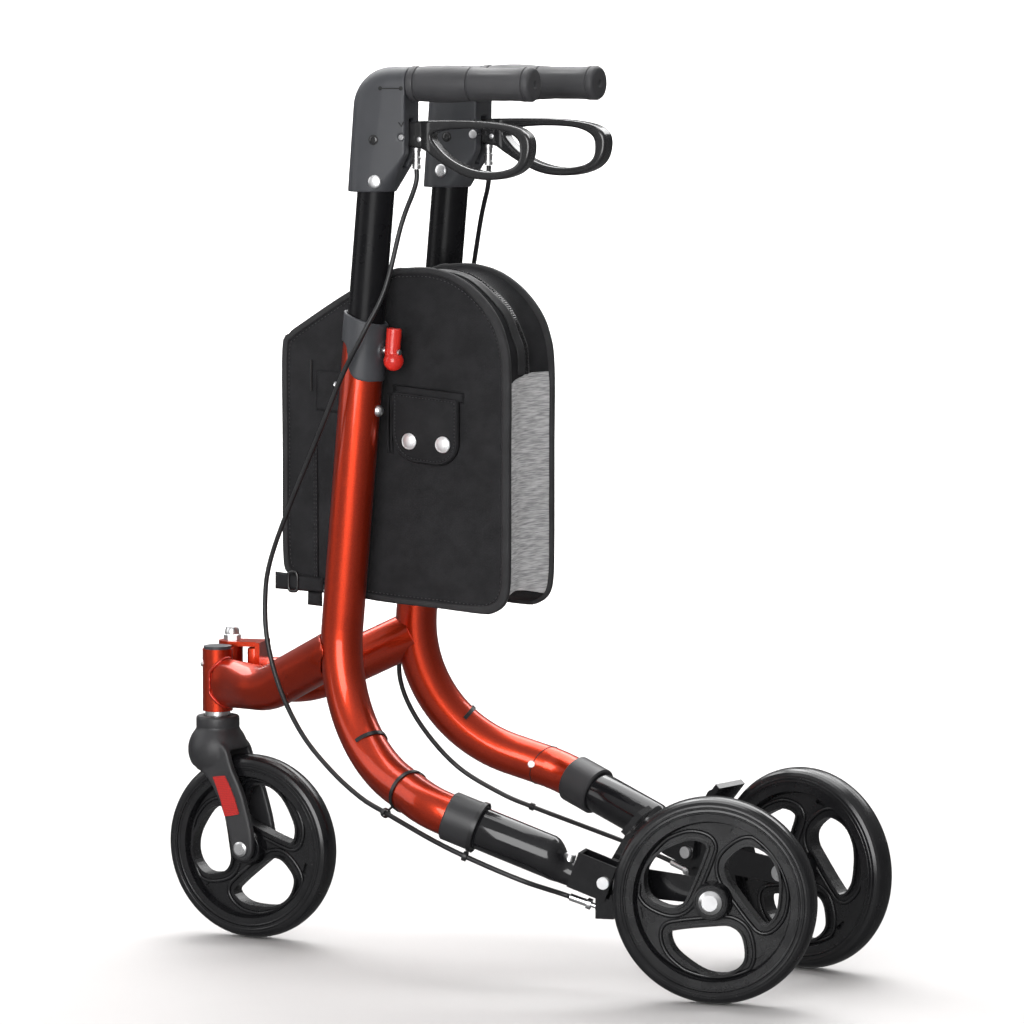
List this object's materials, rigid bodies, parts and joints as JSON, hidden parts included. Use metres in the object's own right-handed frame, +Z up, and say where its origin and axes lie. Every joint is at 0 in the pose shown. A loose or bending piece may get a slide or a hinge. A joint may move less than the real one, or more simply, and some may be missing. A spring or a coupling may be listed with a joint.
{
  "type": "three wheel rollator",
  "caption": "Folding walking aid with a swivelling front wheel, hinged side frames, sliding handles with loop brakes and a shopping bag.",
  "frame": {"origin": "on the floor under the centre of the folded object's bounding box", "axes": "+X to the rear where the user walks, +Y to the user's right, +Z up; the front wheel is at -X"},
  "size_m": [0.767, 0.3214, 0.8964],
  "materials": {
    "red_paint": "gloss",
    "black_paint": "gloss",
    "charcoal_plastic": "matte",
    "lever_black": "gloss",
    "grip_rubber": "matte",
    "bright_steel": "polished",
    "bearing_steel": "satin",
    "cable_sheath": "satin",
    "lock_red": "gloss",
    "tyre_black": "satin",
    "rim_black": "satin",
    "bag_fabric": "woven",
    "heather_fabric": "woven"
  },
  "bodies": {
    "left_frame": {"left_main_tube": "red_paint", "left_front_arm": "red_paint", "head_tube": "red_paint", "head_cap": "charcoal_plastic", "head_bearings": "bearing_steel", "left_post_clamp": "charcoal_plastic", "left_leg_collar": "charcoal_plastic", "left_leg_tube": "black_paint", "left_wheel_bracket": "black_paint", "left_rear_axle": "bright_steel", "left_cable_adjuster": "bright_steel", "left_brake_cable": "cable_sheath", "left_cable_ties": "cable_sheath", "left_frame_fasteners": "bright_steel", "bag_left_panel": "bag_fabric", "bag_gusset": "bag_fabric", "bag_rear_gusset": "heather_fabric", "pocket_flap": "bag_fabric", "flap_snaps": "bright_steel"},
    "right_frame": {"right_main_tube": "red_paint", "right_front_arm": "red_paint", "hinge_bolt": "bright_steel", "right_post_clamp": "charcoal_plastic", "right_leg_collar": "charcoal_plastic", "right_leg_tube": "black_paint", "right_wheel_bracket": "black_paint", "right_rear_axle": "bright_steel", "right_cable_adjuster": "bright_steel", "right_brake_cable": "cable_sheath", "right_cable_ties": "cable_sheath", "right_frame_fasteners": "bright_steel", "bag_right_panel": "bag_fabric"},
    "castor": {"castor_fork": "charcoal_plastic", "castor_stem": "bright_steel", "reflectors": "lock_red", "front_axle": "bright_steel"},
    "front_wheel": {"front_tyre": "tyre_black", "front_rim": "rim_black", "front_bushes": "bearing_steel"},
    "left_handle": {"left_post": "black_paint", "left_handle_housing": "charcoal_plastic", "left_grip": "grip_rubber", "left_handle_fasteners": "bright_steel"},
    "left_lever": {"left_brake_lever": "lever_black"},
    "left_lock": {"left_lock_lever": "lock_red"},
    "left_brake": {"left_brake_arm": "black_paint"},
    "left_wheel": {"left_rear_tyre": "tyre_black", "left_rear_rim": "rim_black", "left_rear_bushes": "bearing_steel"},
    "right_handle": {"right_post": "black_paint", "right_handle_housing": "charcoal_plastic", "right_grip": "grip_rubber", "right_handle_fasteners": "bright_steel"},
    "right_lever": {"right_brake_lever": "lever_black"},
    "right_lock": {"right_lock_lever": "lock_red"},
    "right_brake": {"right_brake_arm": "black_paint"},
    "right_wheel": {"right_rear_tyre": "tyre_black", "right_rear_rim": "rim_black", "right_rear_bushes": "bearing_steel"}
  },
  "joints": [
    {"name": "fold", "type": "hinge", "parent": "left_frame", "child": "right_frame", "pos_m": [-0.33, 0.03, 0.27], "axis": [0, 0, 1], "range_deg": [0, 23], "deforming": ["bag_gusset", "bag_rear_gusset"]},
    {"name": "castor_swivel", "type": "hinge", "parent": "left_frame", "child": "castor", "pos_m": [-0.33, 0, 0.232], "axis": [0, 0, 1], "continuous": true},
    {"name": "front_wheel_spin", "type": "hinge", "parent": "castor", "child": "front_wheel", "pos_m": [-0.289, 0, 0.095], "axis": [0, 1, 0], "continuous": true},
    {"name": "left_post_slide", "type": "slide", "parent": "left_frame", "child": "left_handle", "axis": [0.0906, 0, 0.9959], "range_m": [-0.085, 0.05], "deforming": ["left_brake_cable"]},
    {"name": "left_brake_squeeze", "type": "hinge", "parent": "left_handle", "child": "left_lever", "pos_m": [-0.06412, -0.07687, 0.826], "axis": [0.0436, -0.999, 0], "range_deg": [0, 8], "stiffness_Nm_per_rad": 12, "springref_deg": -5.73, "deforming": ["left_brake_cable"]},
    {"name": "left_brake_swing", "type": "hinge", "parent": "left_frame", "child": "left_brake", "pos_m": [0.16509, -0.08835, 0.11], "axis": [-0.1994, 0.9799, 0], "range_deg": [0, 3.2]},
    {"name": "left_lock_turn", "type": "hinge", "parent": "left_frame", "child": "left_lock", "pos_m": [-0.08164, -0.078, 0.61452], "axis": [0.9959, 0, -0.0906], "range_deg": [0, 90]},
    {"name": "left_wheel_spin", "type": "hinge", "parent": "left_frame", "child": "left_wheel", "pos_m": [0.284, -0.106, 0.1005], "axis": [-0.1994, 0.9799, 0], "continuous": true},
    {"name": "right_post_slide", "type": "slide", "parent": "right_frame", "child": "right_handle", "axis": [0.0906, 0, 0.9959], "range_m": [-0.085, 0.05], "deforming": ["right_brake_cable"]},
    {"name": "right_brake_squeeze", "type": "hinge", "parent": "right_handle", "child": "right_lever", "pos_m": [-0.06412, 0.07687, 0.826], "axis": [-0.0436, -0.999, 0], "range_deg": [0, 8], "stiffness_Nm_per_rad": 12, "springref_deg": -5.73, "deforming": ["right_brake_cable"]},
    {"name": "right_brake_swing", "type": "hinge", "parent": "right_frame", "child": "right_brake", "pos_m": [0.16509, 0.08835, 0.11], "axis": [0.1994, 0.9799, 0], "range_deg": [0, 3.2]},
    {"name": "right_lock_turn", "type": "hinge", "parent": "right_frame", "child": "right_lock", "pos_m": [-0.08164, 0.078, 0.61452], "axis": [-0.9959, 0, 0.0906], "range_deg": [0, 90]},
    {"name": "right_wheel_spin", "type": "hinge", "parent": "right_frame", "child": "right_wheel", "pos_m": [0.284, 0.106, 0.1005], "axis": [0.1994, 0.9799, 0], "continuous": true}
  ],
  "couplings": [
    {"joint": "left_brake_swing", "follows": "left_brake_squeeze", "ratio": 0.4},
    {"joint": "right_brake_swing", "follows": "right_brake_squeeze", "ratio": 0.4}
  ]
}
